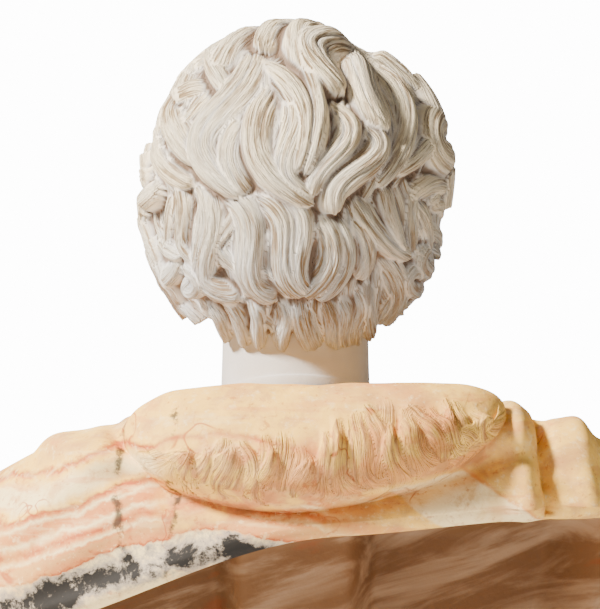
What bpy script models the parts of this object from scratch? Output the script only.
"""A Roman emperor bust: a white marble head let into a draped bust of banded marble.

The frame is in metres with +Z up. The face looks along -Y, the figure's left is +X, and the origin
lies on the flat underside, below the axis of the neck. Each carved piece is built as overlapping
closed shells (rings lofted through stations, and profiles carried along paths), which are then
fused into one surface and thinned to a light faceted solid.
"""

import math

import bmesh
import bpy
import numpy as np

# Bust: real sizes of the banded marble piece.
COLLAR_HEIGHT = 0.411
SHOULDER_WIDTH = 0.580
CHEST_DEPTH = 0.135
CLOAK_DEPTH = 0.145
HOLLOW_WALL_BACK = -0.030
PILLAR_WIDTH = 0.090
PILLAR_BACK = 0.050
SOCKET_DEPTH = 0.076

# Neck: the plug that stands in the socket of the bust.
NECK_WIDTH = 0.121
NECK_DEPTH = 0.126
SOCKET_CLEARANCE = 0.0006

# Head: every feature of the face and hair is a share of the height from chin to skull top.
HEAD_HEIGHT = 0.235
CHIN_ABOVE_COLLAR = 0.029

# Cloak: its folds and the drop of its hem, the roll behind the neck, its fringe, and the brooch.
FOLD_HEIGHT = 0.015
HEM_DROP = 0.085
ROLL_THICKNESS = 0.037
FRINGE_COUNT = 24
FRINGE_WIDTH = 0.0110
FRINGE_HEIGHT = 0.0060
BROOCH_DIAMETER = 0.050
BROOCH_THICKNESS = 0.014

# How finely the carved forms are fused, and how many triangles are kept.
FUSE_VOXEL = 0.0028
HEAD_TRIANGLES = 5100
BUST_TRIANGLES = 4000

STONES = {
    "white_marble": ((0.80, 0.77, 0.72), 0.55),
    "banded_marble": ((0.78, 0.60, 0.45), 0.45),
}


def smooth_step(value, low, high):
    """Runs from 0 at low to 1 at high with a flat start and end."""
    share = np.clip((np.asarray(value, float) - low) / (high - low), 0.0, 1.0)
    return share * share * (3.0 - 2.0 * share)


def bell(value, centre, width):
    """A Gaussian bump of height 1."""
    return np.exp(-(((value - centre) / width) ** 2))


def spline(rows, at):
    """Reads a Catmull-Rom curve through equally spaced rows at row numbers at."""
    rows = np.asarray(rows, float)
    last = len(rows) - 1
    index = np.clip(np.floor(at).astype(int), 0, last - 1)
    part = (np.asarray(at) - index)[:, None]
    before, start = rows[np.maximum(index - 1, 0)], rows[index]
    end, after = rows[index + 1], rows[np.minimum(index + 2, last)]
    bend = 2.0 * before - 5.0 * start + 4.0 * end - after
    cube = 3.0 * (start - end) + after - before
    return start + 0.5 * part * (end - before + part * (bend + part * cube))


def unit(vectors):
    """Vectors scaled to length 1."""
    return vectors / np.maximum(np.linalg.norm(vectors, axis=-1, keepdims=True), 1e-12)


def power(value, exponent):
    """A power that keeps the sign."""
    return np.sign(value) * np.abs(value) ** exponent


def shell_of(rings):
    """Closes a stack of rings (rows, columns, 3) into a shell: its points and its triangles.

    The first and last rings are caps: each is closed by a fan to its own middle.
    """
    rows, columns, _ = rings.shape
    points = np.vstack([rings.reshape(-1, 3), rings[0].mean(0), rings[-1].mean(0)])
    column = np.arange(columns)
    following = (column + 1) % columns
    row = np.arange(rows - 1)[:, None] * columns
    corners = [row + column, row + following, row + columns + following, row + columns + column]
    a, b, c, d = (corner.ravel() for corner in corners)
    first, last, top = rows * columns, rows * columns + 1, (rows - 1) * columns
    caps = [
        np.stack([np.full(columns, first), following, column], 1),
        np.stack([np.full(columns, last), top + column, top + following], 1),
    ]
    faces = np.vstack([np.stack([a, b, c], 1), np.stack([a, c, d], 1), *caps])
    corner = points[faces]
    volume = np.einsum("ij,ij->i", corner[:, 0], np.cross(corner[:, 1], corner[:, 2])).sum()
    return points, faces if volume > 0 else faces[:, ::-1]


def carried_shell(path, up, half_width, rise, sink, columns=11, lean=0.0, flat=2.4):
    """Carries a carved ridge along a path and closes it.

    Across the ridge, at u from -1 to 1, the top stands rise * (1 - |u|^flat) * (1 + lean * u) above
    the path, and the underside lies sink below it.
    """
    across = np.linspace(-1.0, 1.0, columns)
    profile = (1.0 - np.abs(across) ** flat) * (1.0 + lean * across)
    side = unit(np.cross(up, np.gradient(path, axis=0)))
    width = np.asarray(half_width)[:, None, None] * across[None, :, None]
    top = path[:, None] + side[:, None] * width
    top = top + up[:, None] * (np.asarray(rise)[:, None] * profile)[:, :, None]
    below = path[:, None] + side[:, None] * width[:, ::-1] * 0.8 - up[:, None] * sink
    return shell_of(np.concatenate([top, below], axis=1))


def lofted_rings(stations, columns, rows):
    """Rings through stations of (front y, back y, front z, back z, half width, squareness)."""
    angle = np.arange(columns) * 2.0 * math.pi / columns
    forward, sideways = np.cos(angle), np.sin(angle)
    read = spline(stations, np.linspace(0.0, len(stations) - 1.0, rows))
    front, back, front_z, back_z, half_width, square = (v[:, None] for v in read.T)
    ahead, aside = power(forward, 2.0 / square), power(sideways, 2.0 / square)
    x = half_width * aside
    y = (front + back) / 2.0 - (back - front) / 2.0 * ahead
    z = (front_z + back_z) / 2.0 + (front_z - back_z) / 2.0 * forward
    return np.stack([x, y, z], axis=-1)


# Head.
CHIN_HEIGHT = COLLAR_HEIGHT + CHIN_ABOVE_COLLAR
SKULL_CENTRE = np.array([0.0, -0.0085 * HEAD_HEIGHT, CHIN_HEIGHT + 0.562 * HEAD_HEIGHT])
HAIR_HALF_WIDTH = 0.466 * HEAD_HEIGHT
TEMPLE_HALF_WIDTH = 0.395 * HEAD_HEIGHT
HAIR_BACK = 0.490 * HEAD_HEIGHT
HAIR_FRONT = 0.470 * HEAD_HEIGHT
HAIR_UP = 0.500 * HEAD_HEIGHT
HAIR_DOWN = 0.616 * HEAD_HEIGHT
HAIR_INSET = 0.016 * HEAD_HEIGHT
LOCK_SINK = 0.070 * HEAD_HEIGHT
WHORL_TILT = math.radians(15.0)
WHORL = np.array([0.0, math.sin(WHORL_TILT), math.cos(WHORL_TILT)])
BACKWARD = np.array([0.0, math.cos(WHORL_TILT), -math.sin(WHORL_TILT)])
RIGHTWARD = np.array([-1.0, 0.0, 0.0])
CROWN_SHIFT = 0.30

# Where the hair ends: degrees from the whorl, against degrees round it from the back of the head.
HAIRLINE = ((0, 137), (50, 136), (90, 125), (110, 117), (127, 92), (150, 80), (180, 76))

# Sections of skull, face and neck from the plug up, as shares of the head's height from the chin:
# (front y, back y, front z, back z, half width, squareness).
FACE_STATIONS = (
    (-0.245, 0.262, -0.060, 0.130, 0.248, 2.0),
    (-0.345, 0.270, -0.015, 0.200, 0.255, 2.1),
    (-0.440, 0.285, 0.030, 0.270, 0.268, 2.1),
    (-0.452, 0.320, 0.140, 0.350, 0.285, 2.2),
    (-0.450, 0.370, 0.255, 0.420, 0.300, 2.3),
    (-0.440, 0.420, 0.385, 0.500, 0.315, 2.3),
    (-0.425, 0.450, 0.490, 0.570, 0.325, 2.3),
    (-0.448, 0.460, 0.585, 0.640, 0.332, 2.3),
    (-0.435, 0.450, 0.700, 0.720, 0.335, 2.2),
    (-0.380, 0.415, 0.830, 0.820, 0.315, 2.2),
    (-0.280, 0.330, 0.925, 0.910, 0.260, 2.1),
    (-0.150, 0.215, 0.980, 0.970, 0.165, 2.0),
    (-0.010, 0.060, 1.000, 0.998, 0.030, 2.0),
)


def hair_direction(around, down):
    """The direction at angle around, from the back to the right, and angle down from the whorl."""
    around, down = np.asarray(around)[..., None], np.asarray(down)[..., None]
    level = np.cos(around) * BACKWARD + np.sin(around) * RIGHTWARD
    shift = CROWN_SHIFT * bell(down, 0.0, 0.75) * RIGHTWARD
    return unit(np.cos(down) * WHORL + np.sin(down) * level + shift)


def hair_reach(direction):
    """How far the mass of the hair reaches from the skull's centre: an ellipsoid of unlike halves."""
    depth = np.where(direction[..., 1] > 0, HAIR_BACK, HAIR_FRONT)
    height = np.where(direction[..., 2] > 0, HAIR_UP, HAIR_DOWN)
    forward = smooth_step(-direction[..., 1], -0.10, 0.60)
    width = HAIR_HALF_WIDTH + (TEMPLE_HALF_WIDTH - HAIR_HALF_WIDTH) * forward
    scaled = direction / np.stack([width, depth, height], axis=-1)
    return 1.0 / np.linalg.norm(scaled, axis=-1)


def hairline_at(around):
    """The angle from the whorl where the hair ends, at an angle round it."""
    turned = np.abs((np.degrees(around) + 180.0) % 360.0 - 180.0)
    known, ends = np.array(HAIRLINE, float).T
    return np.radians(np.interp(turned, known, ends))


def head_base():
    """Skull, face and neck as one closed shell, swollen where the hair lies on the skull."""
    half_width, half_depth = NECK_WIDTH / 2.0, NECK_DEPTH / 2.0
    plug, collar = COLLAR_HEIGHT - SOCKET_DEPTH, COLLAR_HEIGHT
    low, high = collar - 0.29 * half_depth, collar + 0.22 * half_depth
    neck = [
        (-half_depth, half_depth, plug, plug, half_width, 2.0),
        (-half_depth, half_depth, collar - 0.71 * half_depth, collar, half_width, 2.0),
        (-0.92 * half_depth, 0.98 * half_depth, low, high, 0.98 * half_width, 2.0),
    ]
    scale = np.array([HEAD_HEIGHT] * 5 + [1.0])
    lift = np.array([0.0, 0.0, CHIN_HEIGHT, CHIN_HEIGHT, 0.0, 0.0])
    face = np.array(FACE_STATIONS) * scale + lift
    rings = lofted_rings(np.vstack([neck, face]), columns=150, rows=160)
    rings = carve_face(rings)
    direction = unit(rings - SKULL_CENTRE)
    down = np.arccos(np.clip(direction @ WHORL, -1.0, 1.0))
    around = np.arctan2(direction @ RIGHTWARD, direction @ BACKWARD)
    covered = smooth_step(hairline_at(around) - down, -0.02, 0.10)[..., None]
    mass = SKULL_CENTRE + direction * (hair_reach(direction) - HAIR_INSET)[..., None]
    return shell_of(rings + covered * (mass - rings))


def carve_face(rings):
    """Moves the front of the head along -Y by the depths of brow, eyes, nose, mouth and chin."""
    x = rings[..., 0] / HEAD_HEIGHT
    z = (rings[..., 2] - CHIN_HEIGHT) / HEAD_HEIGHT
    side = np.abs(x)
    front = smooth_step(-rings[..., 1] / HEAD_HEIGHT, 0.0, 0.21)
    brow = 0.016 * bell(z, 0.565 - 0.6 * (side - 0.13) ** 2, 0.028) * bell(side, 0.11, 0.12)
    socket = -0.055 * bell(side, 0.140, 0.072) * bell(z, 0.497, 0.050)
    eye = 0.034 * bell(side, 0.137, 0.050) * bell(z, 0.482, 0.032)
    ridge = 0.028 + 0.085 * smooth_step(0.53 - z, 0.0, 0.21)
    ridge = ridge * smooth_step(z, 0.268, 0.305) * (1.0 - smooth_step(z, 0.50, 0.60))
    nose = ridge * np.exp(-((side / (0.036 + 0.016 * bell(z, 0.30, 0.05))) ** 2.6))
    wing = 0.042 * bell(side, 0.058, 0.024) * bell(z, 0.298, 0.028)
    cheek = 0.016 * bell(side, 0.20, 0.08) * bell(z, 0.37, 0.08)
    muzzle = 0.020 * bell(side, 0.0, 0.12) * bell(z, 0.195, 0.075)
    upper_lip = 0.017 * bell(side, 0.0, 0.075) * bell(z, 0.208, 0.016)
    lower_lip = 0.023 * bell(side, 0.0, 0.062) * bell(z, 0.168, 0.018)
    mouth = -0.016 * bell(side, 0.0, 0.085) * bell(z, 0.188, 0.007)
    crease = -0.014 * bell(side, 0.0, 0.08) * bell(z, 0.128, 0.020)
    chin = 0.024 * bell(side, 0.0, 0.085) * bell(z, 0.062, 0.045)
    depth = brow + socket + eye + nose + wing + cheek + muzzle
    depth = depth + upper_lip + lower_lip + mouth + crease + chin
    moved = rings.copy()
    moved[..., 1] -= depth * front * HEAD_HEIGHT
    return moved


class Tier:
    """A row of locks: where they start and end below the whorl, and how they sway on the way."""

    def __init__(self, start, end, locks, width, rise, arc, flow):
        """Angles are in degrees. Each row of flow gives an angle round the whorl, and there, as
        shares of the head's height, the lean, bow, wave and hook of a lock towards the right.
        """
        self.start, self.end, self.locks = start, end, locks
        self.width, self.rise, self.arc = width, rise, arc
        self.flow = np.array(flow, float)

    def sway(self, around):
        """Lean, bow, wave and hook of the lock that starts at an angle round the whorl."""
        return [np.interp(math.degrees(around), self.flow[:, 0], column) for column in self.flow.T[1:]]


# From the crown down to the nape, and then the locks over the brow.
TIERS = (
    Tier(5, 47, 13, 0.125, 0.050, (-180, 180),
         ((-180, 0.06, 0.03, 0, 0.03), (-90, -0.02, -0.06, 0, 0.08), (0, -0.05, 0.05, 0, 0.10),
          (90, 0.04, 0.08, 0, -0.04), (180, 0.06, 0.03, 0, 0.03))),
    Tier(31, 84, 22, 0.118, 0.058, (-128, 128),
         ((-90, -0.05, 0, 0, 0.12), (-55, -0.07, 0, 0, 0.14), (-30, -0.075, 0, -0.02, 0.15),
          (-12, -0.02, 0, -0.05, 0.14), (5, -0.03, 0.02, 0.02, 0.04), (27, -0.16, 0.09, 0, 0.05),
          (57, -0.15, 0.12, 0, 0.02), (85, -0.05, 0.10, 0, 0.04))),
    Tier(76, 115, 19, 0.108, 0.054, (-112, 112),
         ((-70, -0.05, -0.02, 0, 0.08), (-31, -0.03, 0, 0.01, 0.09), (-19, -0.015, 0, 0.04, 0.10),
          (-7, 0, 0.02, 0.07, 0.07), (7, 0, 0.085, 0.02, -0.04), (20, 0, 0.06, 0, 0.01),
          (34, 0.05, -0.05, 0, 0.05), (70, 0.03, 0.05, 0.03, -0.05))),
    Tier(108, 139, 13, 0.095, 0.044, (-80, 80),
         ((-60, 0.03, 0, 0.02, 0.04), (-18, -0.01, 0, 0.02, 0.04), (0, 0, -0.025, 0, 0.04),
          (8, 0, -0.04, 0, 0.07), (20, 0.02, -0.045, 0, 0.04), (60, -0.02, 0.02, 0, -0.03))),
    Tier(46, 86, 11, 0.098, 0.056, (134, 226),
         ((134, -0.06, 0.05, 0.02, 0.12), (178, -0.05, 0.02, 0.03, 0.13), (184, 0.05, 0, -0.03, -0.12),
          (226, 0.06, -0.05, -0.02, -0.12))),
)
TEMPLE_LOCKS = 5
CURLS_PER_SIDE = 5
LOCK_STEPS = 20


def lock_shell(start, end, sway, width, rise, lift, columns=11):
    """A lock from start to end, each (around, down), swaying sideways and lifted at its tip."""
    along = np.linspace(0.0, 1.0, LOCK_STEPS)
    around = start[0] + (end[0] - start[0]) * along
    down = start[1] + (end[1] - start[1]) * along
    lean, bow, wave, hook = sway
    side = lean * along + bow * np.sin(math.pi * along) + wave * np.sin(2.0 * math.pi * along)
    side = side + hook * np.clip((along - 0.70) / 0.30, 0.0, 1.0) ** 1.6
    span = np.array([(end[0] - start[0]) * math.sin(0.5 * (start[1] + end[1])), end[1] - start[1]])
    aside = np.array([span[1], -span[0]]) / np.linalg.norm(span)
    reach = HAIR_HALF_WIDTH / HEAD_HEIGHT
    around = around + side * aside[0] / (reach * np.maximum(np.sin(down), 0.3))
    down = down + side * aside[1] / reach
    direction = hair_direction(around, down)
    raised = lift * (along - 0.35) - 0.025 * bell(along, 0.0, 0.2) - 0.012 * (along > 0.99)
    height = hair_reach(direction) + HEAD_HEIGHT * raised
    path = SKULL_CENTRE + direction * height[:, None]
    taper = (0.55 + 0.45 * smooth_step(along, 0.0, 0.35)) * np.sqrt(1.0 - 0.985 * along**5)
    half_width = 0.58 * width * HEAD_HEIGHT * taper
    return carried_shell(path, direction, half_width, rise * HEAD_HEIGHT * taper,
                         LOCK_SINK, columns, lean=0.3 * np.sign(hook + lean + 1e-9), flat=2.0)


def hair_locks():
    """The locks of every tier as closed shells, nudged by a fixed random draw."""
    draw = np.random.default_rng(11)
    shells = []
    for tier in TIERS:
        low, high = np.radians(tier.arc)
        for number in range(tier.locks):
            around = low + (high - low) * (number + 0.5) / tier.locks + draw.normal(0.0, 0.03)
            start = math.radians(tier.start + draw.normal(0.0, 2.0))
            end = math.radians(tier.end + draw.normal(0.0, 2.5))
            end = min(end, float(hairline_at(around)) + 0.05)
            width = tier.width * (1.0 + draw.normal(0.0, 0.10))
            if end - start > math.radians(14.0):
                sway = tier.sway(around)
                shells.append(lock_shell((around, start), (around, end), sway, width, tier.rise, 0.04))
    return shells


def temple_locks():
    """Short locks that sweep forward over the temples and end in curls at the edge of the face."""
    shells = []
    for side in (-1.0, 1.0):
        for number in range(TEMPLE_LOCKS):
            share = number / (TEMPLE_LOCKS - 1.0)
            front = side * math.radians(134.0 - 26.0 * share)
            end = float(hairline_at(front)) + 0.03
            back = front - side * math.radians(34.0)
            sway = (0.02, -0.03, 0.0, 0.07)
            sway = [-side * value for value in sway]
            shells.append(lock_shell((back, end - 0.22), (front, end), sway, 0.095, 0.046, 0.03))
    return shells


def ear_curls():
    """Small rolled curls that cover each ear: a path that winds inwards on the hair."""
    shells = []
    turn = np.linspace(0.0, 1.0, 16)
    for side in (-1.0, 1.0):
        for number in range(CURLS_PER_SIDE):
            middle_around = side * math.radians(72.0 + 12.0 * (number % 3))
            middle_down = math.radians(108.0 + 6.0 * number)
            radius = np.radians(6.3) * (1.0 - 0.80 * turn)
            angle = side * (2.0 * math.pi * 0.95 * turn + 1.3 * number)
            around = middle_around + radius * np.cos(angle)
            down = middle_down + radius * np.sin(angle)
            direction = hair_direction(around, down)
            lift = hair_reach(direction) - 0.010 * HEAD_HEIGHT * turn
            path = SKULL_CENTRE + direction * lift[:, None]
            body = np.sqrt(np.clip(1.0 - 0.9 * turn**3, 0.0, 1.0))
            width, rise = 0.036 * HEAD_HEIGHT * body, 0.050 * HEAD_HEIGHT * body
            shells.append(carried_shell(path, direction, width, rise, LOCK_SINK))
    return shells


# Bust.
HALF_SHOULDER = SHOULDER_WIDTH / 2.0

# Slices of the bust from its foot to the rim round the neck. Each row gives the level as a share
# of the collar's height, the left and right half widths as shares of the half shoulder, the front
# and back as shares of the chest and cloak depths, the backward rise of the slice, and how far the
# back is hollowed (1) or full (0).
BUST_LEVELS = (
    (0.000, 0.47, 0.47, 0.70, 0.34, 0.00, 1.0),
    (0.146, 0.63, 0.63, 0.83, 0.38, 0.00, 1.0),
    (0.292, 0.77, 0.77, 0.92, 0.43, 0.00, 1.0),
    (0.438, 0.88, 0.88, 0.97, 0.47, 0.00, 1.0),
    (0.600, 0.955, 0.955, 0.985, 0.54, 0.00, 1.0),
    (0.714, 0.985, 0.980, 0.965, 0.62, 0.00, 0.92),
    (0.732, 0.985, 0.983, 0.95, 0.92, 0.00, 0.0),
    (0.760, 0.975, 0.990, 0.91, 0.945, 0.01, 0.0),
    (0.792, 0.945, 0.983, 0.87, 0.960, 0.03, 0.0),
    (0.827, 0.862, 0.935, 0.815, 0.96, 0.05, 0.0),
    (0.866, 0.730, 0.890, 0.740, 0.93, 0.13, 0.0),
    (0.895, 0.580, 0.790, 0.667, 0.80, 0.22, 0.0),
    (0.917, 0.445, 0.650, 0.600, 0.66, 0.30, 0.0),
    (0.934, 0.345, 0.415, 0.533, 0.54, 0.35, 0.0),
    (0.944, 0.221, 0.221, 0.478, 0.46, 0.36, 0.0),
)
ROUNDNESS = 0.90


# The roll behind the neck, from left to right: where its middle lies, as shares of the half
# shoulder, the cloak's depth and the collar's height, and half its breadth as a share of the last.
ROLL = np.array([
    (0.445, 0.60, 0.893, 0.058),
    (0.330, 0.715, 0.897, 0.095),
    (0.155, 0.785, 0.893, 0.115),
    (0.000, 0.815, 0.889, 0.119),
    (-0.155, 0.810, 0.896, 0.112),
    (-0.310, 0.775, 0.907, 0.100),
    (-0.445, 0.690, 0.922, 0.080),
    (-0.545, 0.590, 0.932, 0.055),
])
ROLL_SLOPE = math.radians(32.0)


def hollow_depth(across):
    """The back of the hollowed bust at a share across it: walls at the arms, a pillar between."""
    arm = smooth_step(np.abs(across), 0.68, 0.84)
    pillar = 1.0 - smooth_step(np.abs(across) * HALF_SHOULDER, 0.45 * PILLAR_WIDTH, 0.75 * PILLAR_WIDTH)
    full = 0.36 * CLOAK_DEPTH
    return HOLLOW_WALL_BACK + arm * (full - HOLLOW_WALL_BACK) + pillar * (PILLAR_BACK - HOLLOW_WALL_BACK)


def bust_rings(columns, rows):
    """The draped body as rings of points, from the foot to the rim round the neck."""
    angle = np.arange(columns) * 2.0 * math.pi / columns
    forward, sideways = np.cos(angle), np.sin(angle)
    read = spline(BUST_LEVELS, np.linspace(0.0, len(BUST_LEVELS) - 1.0, rows))
    level, left, right, front, back, tilt, hollow = (v[:, None] for v in read.T)
    width = np.where(sideways > 0, left, right) * HALF_SHOULDER
    x = width * power(sideways, ROUNDNESS)
    ahead = np.abs(forward) ** ROUNDNESS
    full = np.where(forward > 0, -front * CHEST_DEPTH, back * CLOAK_DEPTH) * ahead
    edge = np.minimum(1.0, 3.0 * np.abs(forward))
    hollowed = hollow_depth(x / np.maximum(width, 1e-6) * 0.97) * edge
    y = np.where(forward > 0, full, full + np.clip(hollow, 0.0, 1.0) * (hollowed - full))
    z = level * COLLAR_HEIGHT + tilt * y
    lowered = bell(level, 0.738, np.where(level > 0.738, 0.075, 0.30)) * smooth_step(y / CLOAK_DEPTH, -0.35, 0.35)
    z = z - hem_drop(x) * lowered
    rings = np.stack([x, y, z], axis=-1)
    return rings + outward_of(rings) * drapery(rings, forward)[..., None]


def hem_drop(x):
    """How much lower the back of the cloak hangs on the left than on the right."""
    across = x / HALF_SHOULDER
    return HEM_DROP * (smooth_step(across, -0.14, 0.93) - 0.12 * smooth_step(-across, 0.07, 0.62))


def outward_of(rings):
    """The outward directions of a stack of rings."""
    across = np.roll(rings, -1, axis=1) - np.roll(rings, 1, axis=1)
    return unit(np.cross(across, np.gradient(rings, axis=0)))


def line_bump(x, z, start, end, width):
    """A ridge of height 1 along a straight line, with soft ends.

    The ends are given across as shares of the half shoulder and up as shares of the collar's
    height, and the width as a share of the half shoulder.
    """
    (x0, z0), (x1, z1) = start, end
    x, z = x / HALF_SHOULDER, z / HALF_SHOULDER
    z0, z1 = z0 * COLLAR_HEIGHT / HALF_SHOULDER, z1 * COLLAR_HEIGHT / HALF_SHOULDER
    length = math.hypot(x1 - x0, z1 - z0)
    along = ((x - x0) * (x1 - x0) + (z - z0) * (z1 - z0)) / length**2
    away = ((x - x0) * (z1 - z0) - (z - z0) * (x1 - x0)) / length
    return bell(away, 0.0, width) * smooth_step(along, -0.25, 0.15) * smooth_step(1.0 - along, -0.25, 0.15)


def front_drapery(x, z):
    """Folds that fan out from the brooch, sag across the chest and gather on the left shoulder."""
    pin_x, pin_z = -0.52 * HALF_SHOULDER, 0.845 * COLLAR_HEIGHT
    span, gain = 1.34 * HALF_SHOULDER, 0.02 * COLLAR_HEIGHT
    share = (x - pin_x) / span
    sag = np.where(share > 0, share * np.clip(1.0 - share, 0.03, 1.0) ** 0.5, 0.8 * share)
    drop = (pin_z + gain * np.clip(share, 0.0, 1.0) - z) / span
    fan = np.arctan2(np.maximum(drop, 0.0), sag * 1.2)
    reach = np.hypot(share, drop)
    phase = 2.0 * math.pi * fan / math.radians(12.5) + 0.9 * np.sin(5.0 * reach + 3.0 * fan)
    folds = (0.5 + 0.5 * np.cos(phase)) ** 1.2 * (0.85 + 0.15 * np.sin(1.7 * phase))
    folds = folds * smooth_step(reach, 0.03, 0.34) * smooth_step(drop, 0.02, 0.10)
    folds = folds * smooth_step(1.0 - share, 0.0, 0.22) * smooth_step(z, 0.0, 0.30 * COLLAR_HEIGHT)
    return FOLD_HEIGHT * folds


def back_drapery(x, z):
    """The folds of the cloak over the shoulders and down the back."""
    left = 0.67 * line_bump(x, z, (0.81, 0.68), (0.57, 0.82), 0.048)
    left = left + 0.60 * line_bump(x, z, (0.84, 0.58), (0.52, 0.73), 0.055)
    left = left + 0.53 * line_bump(x, z, (0.69, 0.90), (0.50, 0.86), 0.045)
    tuck = -0.67 * line_bump(x, z, (0.48, 0.92), (0.33, 0.81), 0.024)
    right = 0.80 * line_bump(x, z, (-0.57, 0.95), (-0.60, 0.74), 0.042)
    crease = -0.95 * line_bump(x, z, (-0.655, 0.97), (-0.665, 0.76), 0.018)
    outer = 0.73 * line_bump(x, z, (-0.74, 0.94), (-0.76, 0.76), 0.045)
    hem = 0.40 * bell((z + hem_drop(x)) / COLLAR_HEIGHT, 0.762, 0.022)
    edge = np.interp(-x / HALF_SHOULDER, -ROLL[:, 0], ROLL[:, 2] - 0.85 * ROLL[:, 3])
    beside = smooth_step(0.62 - np.abs(x / HALF_SHOULDER + 0.05), 0.0, 0.14)
    under = -0.80 * bell(z / COLLAR_HEIGHT, edge - 0.008, 0.022) * beside
    return FOLD_HEIGHT * (left + tuck + right + crease + outer + hem + under)


def drapery(points, forward):
    """How far the cloth's folds stand out of the plain form of the body."""
    x, y, z = points[..., 0], points[..., 1], points[..., 2]
    front = front_drapery(x, z) * smooth_step(forward, 0.05, 0.25)
    back = back_drapery(x, z) * smooth_step(y / CLOAK_DEPTH, 0.14, 0.41) * (forward < 0)
    back = back * smooth_step((z + hem_drop(x)) / COLLAR_HEIGHT, 0.728, 0.750)
    neck = smooth_step(np.hypot(x / NECK_WIDTH, y / NECK_DEPTH), 0.61, 0.81)
    return (front + back) * neck


def bust_body():
    """The draped body with its hollowed back, as one closed shell."""
    rings = bust_rings(columns=240, rows=150)
    foot, core = rings[:1].copy(), rings[-1:].copy()
    foot[..., 2] = -0.03 * COLLAR_HEIGHT
    core[..., 2] = COLLAR_HEIGHT - SOCKET_DEPTH
    return shell_of(np.concatenate([foot, rings, core]))



def roll_surface(along, turn):
    """Points on the roll at a share along it and an angle round it from its outer crest upward."""
    along, turn = np.broadcast_arrays(np.asarray(along, float), np.asarray(turn, float))
    sizes = np.array([HALF_SHOULDER, CLOAK_DEPTH, COLLAR_HEIGHT, COLLAR_HEIGHT])
    read = spline(ROLL * sizes, along.ravel() * (len(ROLL) - 1.0)).reshape(*along.shape, 4)
    end = np.sqrt(np.clip(1.0 - np.abs(2.0 * along - 1.0) ** 6, 0.01, 1.0))
    breadth = read[..., 3] * end * power(np.sin(turn), 0.8)
    thick = ROLL_THICKNESS * end * power(np.cos(turn), 0.8)
    side = 0.45 * read[..., 0] / HALF_SHOULDER
    outward = unit(np.stack([side, np.full_like(side, math.cos(ROLL_SLOPE)),
                             np.full_like(side, math.sin(ROLL_SLOPE))], axis=-1))
    upward = np.array([0.0, -math.sin(ROLL_SLOPE), math.cos(ROLL_SLOPE)])
    return read[..., :3] + breadth[..., None] * upward + thick[..., None] * outward, outward


def cloak_roll():
    """The thick roll of the cloak that crosses behind the neck."""
    along = np.linspace(0.0, 1.0, 60)[:, None]
    turn = np.arange(36)[None, :] * 2.0 * math.pi / 36
    return shell_of(roll_surface(along, turn)[0])


def cloak_fringe():
    """The combed fringe of the cloak, hanging over the roll."""
    shells = []
    fall = np.linspace(0.0, 1.0, 14)
    for number in range(FRINGE_COUNT):
        share = (number + 0.5) / FRINGE_COUNT
        along = 0.20 + 0.62 * share + (0.01 + 0.075 * share) * fall
        top = 0.10 + 0.20 * share
        turn = top - (top + 0.95 - 0.20 * share) * fall
        path, up = roll_surface(along, turn)
        body = np.sqrt(np.clip(1.0 - np.abs(2.0 * fall - 1.0) ** 5, 0.05, 1.0))
        width, rise = 0.5 * FRINGE_WIDTH * body, FRINGE_HEIGHT * body
        shells.append(carried_shell(path, up, width, rise, 0.25 * ROLL_THICKNESS, columns=7))
    return shells


def brooch():
    """The round brooch that gathers the cloak on the right shoulder."""
    steps = 48
    angle = np.arange(steps) * 2.0 * math.pi / steps
    outward = unit(np.array([-0.40, -0.80, 0.45]))
    across = unit(np.cross(outward, [0.0, 0.0, 1.0]))
    upward = np.cross(across, outward)
    middle = np.array([-0.52 * HALF_SHOULDER, -0.62 * CHEST_DEPTH, 0.840 * COLLAR_HEIGHT])
    circle = np.cos(angle)[:, None] * across + np.sin(angle)[:, None] * upward
    radius = BROOCH_DIAMETER / 2.0
    rings = []
    for share, height in ((0.80, -2.0), (1.0, 0.1), (0.97, 0.55), (0.80, 0.75), (0.70, 0.5), (0.35, 1.0)):
        rings.append(middle + circle * radius * share + outward * BROOCH_THICKNESS * height)
    return shell_of(np.array(rings))


def neckline_roll():
    """The rounded edge of the cloak round the front of the neck."""
    steps = 50
    angle = np.linspace(math.radians(-120.0), math.radians(120.0), steps)
    x, y = 0.71 * NECK_WIDTH * np.sin(angle), -0.67 * NECK_DEPTH * np.cos(angle)
    z = 0.927 * COLLAR_HEIGHT + 0.34 * y
    path = np.stack([x, y, z], axis=-1)
    up = unit(np.stack([x, y, np.full(steps, 0.58 * NECK_WIDTH)], axis=-1))
    body = np.sqrt(np.clip(1.0 - np.abs(2.0 * np.linspace(0.0, 1.0, steps) - 1.0) ** 5, 0.05, 1.0))
    width, rise, sink = 0.14 * NECK_WIDTH, 0.10 * NECK_WIDTH, 0.165 * NECK_WIDTH
    return carried_shell(path, up, width * body, rise * body, sink, columns=13)


def clear_scene():
    """Removes the objects of the startup scene."""
    for item in list(bpy.data.objects):
        bpy.data.objects.remove(item)


def stone(name):
    """The material of one of the two stones."""
    colour, roughness = STONES[name]
    material = bpy.data.materials.new(name)
    material.use_nodes = True
    shader = material.node_tree.nodes["Principled BSDF"]
    shader.inputs["Base Color"].default_value = (*colour, 1.0)
    shader.inputs["Roughness"].default_value = roughness
    shader.inputs["Metallic"].default_value = 0.0
    return material


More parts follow.
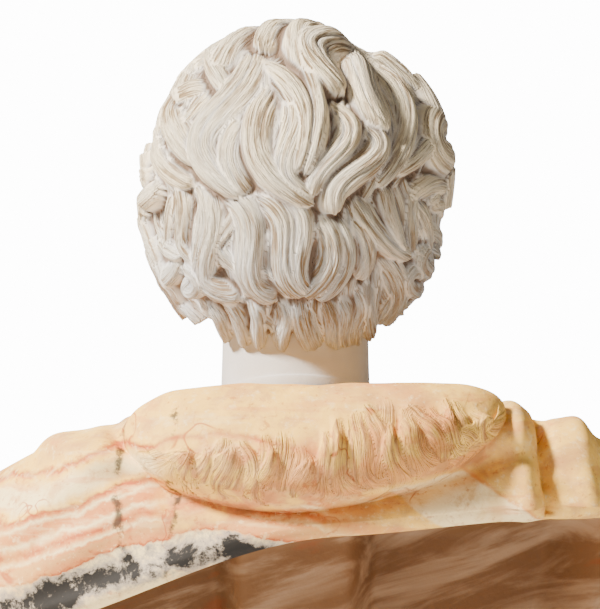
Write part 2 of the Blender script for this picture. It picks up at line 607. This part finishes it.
def fused(name, shells, triangles):
    """Fuses overlapping shells into one closed surface and thins it to a number of triangles."""
    points, faces, count = [], [], 0
    for shell_points, shell_faces in shells:
        points.append(shell_points)
        faces.append(shell_faces + count)
        count += len(shell_points)
    mesh = bpy.data.meshes.new(name)
    mesh.from_pydata(np.vstack(points).tolist(), [], np.vstack(faces).tolist())
    item = bpy.data.objects.new(name, mesh)
    bpy.context.scene.collection.objects.link(item)
    fuse = item.modifiers.new("fuse", "REMESH")
    fuse.mode = "VOXEL"
    fuse.voxel_size = FUSE_VOXEL
    split = item.modifiers.new("split", "TRIANGULATE")
    item.data = evaluated_copy(item)
    item.modifiers.remove(split)
    item.modifiers.remove(fuse)
    thin = item.modifiers.new("thin", "DECIMATE")
    thin.ratio = triangles / len(item.data.polygons)
    item.data = evaluated_copy(item)
    item.modifiers.remove(thin)
    item.data.name = name
    return item


def evaluated_copy(item):
    """A new mesh with the object's modifiers applied."""
    graph = bpy.context.evaluated_depsgraph_get()
    return bpy.data.meshes.new_from_object(item.evaluated_get(graph))


def cut_flat(item, height):
    """Cuts the piece off flat at a height and closes the cut."""
    work = bmesh.new()
    work.from_mesh(item.data)
    parts = work.verts[:] + work.edges[:] + work.faces[:]
    plane = {"plane_co": (0.0, 0.0, height), "plane_no": (0.0, 0.0, 1.0)}
    cut = bmesh.ops.bisect_plane(work, geom=parts, clear_inner=True, **plane)
    edges = [part for part in cut["geom_cut"] if isinstance(part, bmesh.types.BMEdge)]
    bmesh.ops.holes_fill(work, edges=edges)
    work.to_mesh(item.data)
    work.free()


def elliptic_column(name, half_width, half_depth, low, high):
    """An upright column of elliptic section, with flat ends."""
    angle = np.arange(64) * 2.0 * math.pi / 64
    ring = np.stack([half_width * np.sin(angle), -half_depth * np.cos(angle), np.zeros(64)], axis=-1)
    points, faces = shell_of(np.array([ring + [0.0, 0.0, low], ring + [0.0, 0.0, high]]))
    mesh = bpy.data.meshes.new(name)
    mesh.from_pydata(points.tolist(), [], faces.tolist())
    item = bpy.data.objects.new(name, mesh)
    bpy.context.scene.collection.objects.link(item)
    return item


def cut_by(item, cutter, operation="DIFFERENCE"):
    """Applies an exact Boolean with a helper, which is then removed."""
    modifier = item.modifiers.new("cut", "BOOLEAN")
    modifier.operation = operation
    modifier.object = cutter
    item.data = evaluated_copy(item)
    item.modifiers.remove(modifier)
    bpy.data.objects.remove(cutter)


def build_head():
    """The white marble head with its neck and the plug that stands in the bust."""
    head = fused("head", [head_base(), *hair_locks(), *temple_locks(), *ear_curls()], HEAD_TRIANGLES)
    seat = COLLAR_HEIGHT - SOCKET_DEPTH + SOCKET_CLEARANCE
    cut_flat(head, seat)
    head.data.materials.append(stone("white_marble"))
    return head


def build_bust():
    """The banded marble bust with its cloak, hollowed back and socket."""
    shells = [bust_body(), cloak_roll(), brooch(), neckline_roll(), *cloak_fringe()]
    bust = fused("draped_bust", shells, BUST_TRIANGLES)
    cut_flat(bust, 0.0)
    clear = 2.5 * SOCKET_CLEARANCE
    low, high = COLLAR_HEIGHT - SOCKET_DEPTH, COLLAR_HEIGHT + SOCKET_DEPTH
    socket = elliptic_column("socket", NECK_WIDTH / 2.0 + clear, NECK_DEPTH / 2.0 + clear, low, high)
    cut_by(bust, socket)
    bust.data.materials.append(stone("banded_marble"))
    return bust


def main():
    """Builds the two pieces of the bust."""
    clear_scene()
    for piece in (build_head(), build_bust()):
        piece.data.shade_smooth()
        piece.data.set_sharp_from_angle(angle=math.radians(50.0))


main()
